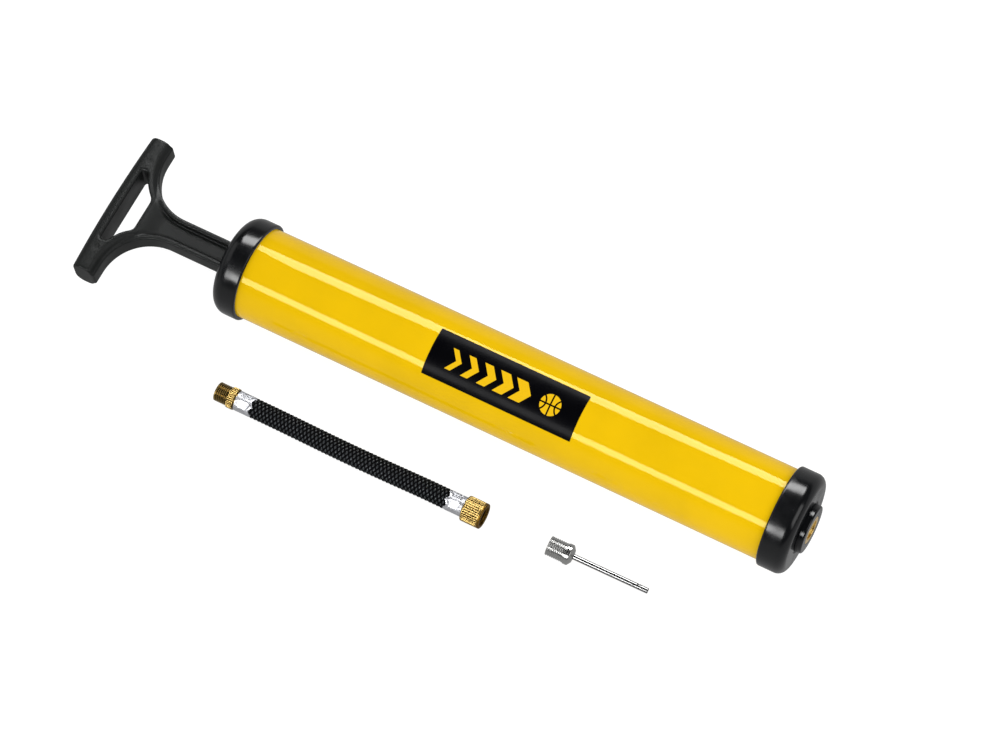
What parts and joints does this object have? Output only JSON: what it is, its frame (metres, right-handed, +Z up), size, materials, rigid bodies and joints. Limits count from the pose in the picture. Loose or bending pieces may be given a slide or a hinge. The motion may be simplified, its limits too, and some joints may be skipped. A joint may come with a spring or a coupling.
{
  "type": "ball inflation pump",
  "caption": "Hand pump for inflating balls: T-handle plunger in a capped barrel with a threaded outlet, plus a short braided hose with a swivel nut and an inflation needle.",
  "frame": {"origin": "centre of the outlet's mouth, on the pump's axis; the surface that the part lies on is 20.4 mm below it", "axes": "+X along the pump's axis, out of the outlet; +Y along the handle's grip; +Z up, with the pump lying on its side"},
  "size_m": [0.3053, 0.0821, 0.0408],
  "materials": {
    "yellow_enamel": "gloss enamel",
    "label_film": "satin printed film",
    "black_gloss": "gloss moulded",
    "charcoal_plastic": "satin moulded",
    "white_plastic": "moulded",
    "brass": "turned",
    "nickel_plate": "bright plated",
    "stainless": "drawn tube",
    "zinc_steel": "zinc plated",
    "aluminium": "bright crimped",
    "black_rubber": "moulded",
    "black_braid": "braided yarn"
  },
  "bodies": {
    "pump": {"barrel": "yellow_enamel", "label": "label_film", "handle_cap": "black_gloss", "base_cap": "black_gloss", "outlet_insert": "brass", "base_gasket": "black_rubber", "valve_seat": "white_plastic", "valve_spring": "stainless"},
    "valve": {"valve_disc": "black_rubber"},
    "cup": {"cup_seal": "black_rubber"},
    "plunger": {"plunger": "charcoal_plastic", "piston_head": "white_plastic", "cup_washer": "zinc_steel", "piston_screw": "zinc_steel"},
    "hose": {"hose_fitting": "brass", "hose_ferrule_front": "aluminium", "hose_liner": "black_rubber", "hose_braid": "black_braid", "hose_ferrule_rear": "aluminium", "hose_stem": "brass"},
    "nut": {"swivel_nut": "brass", "nut_gasket": "black_rubber"},
    "needle": {"needle_head": "nickel_plate", "needle_tube": "stainless"}
  },
  "joints": [
    {"name": "piston_slide", "type": "slide", "parent": "pump", "child": "cup", "axis": [-1, 0, 0], "range_m": [0, 0.205]},
    {"name": "handle_turn", "type": "hinge", "parent": "cup", "child": "plunger", "pos_m": [-0.3, 0, 0], "axis": [1, 0, 0], "continuous": true},
    {"name": "valve_lift", "type": "slide", "parent": "pump", "child": "valve", "axis": [1, 0, 0], "range_m": [0, 0.0012], "stiffness_N_per_m": 60, "springref_m": -0.003, "deforming": ["valve_spring"]},
    {"name": "hose_lift", "type": "slide", "parent": "pump", "child": "hose", "axis": [0, 0, 1], "range_m": [0, 0.1]},
    {"name": "nut_turn", "type": "hinge", "parent": "hose", "child": "nut", "pos_m": [-0.12, -0.0455, -0.0152], "axis": [1, 0, 0], "continuous": true},
    {"name": "needle_lift", "type": "slide", "parent": "pump", "child": "needle", "axis": [0, 0, 1], "range_m": [0, 0.1]}
  ]
}
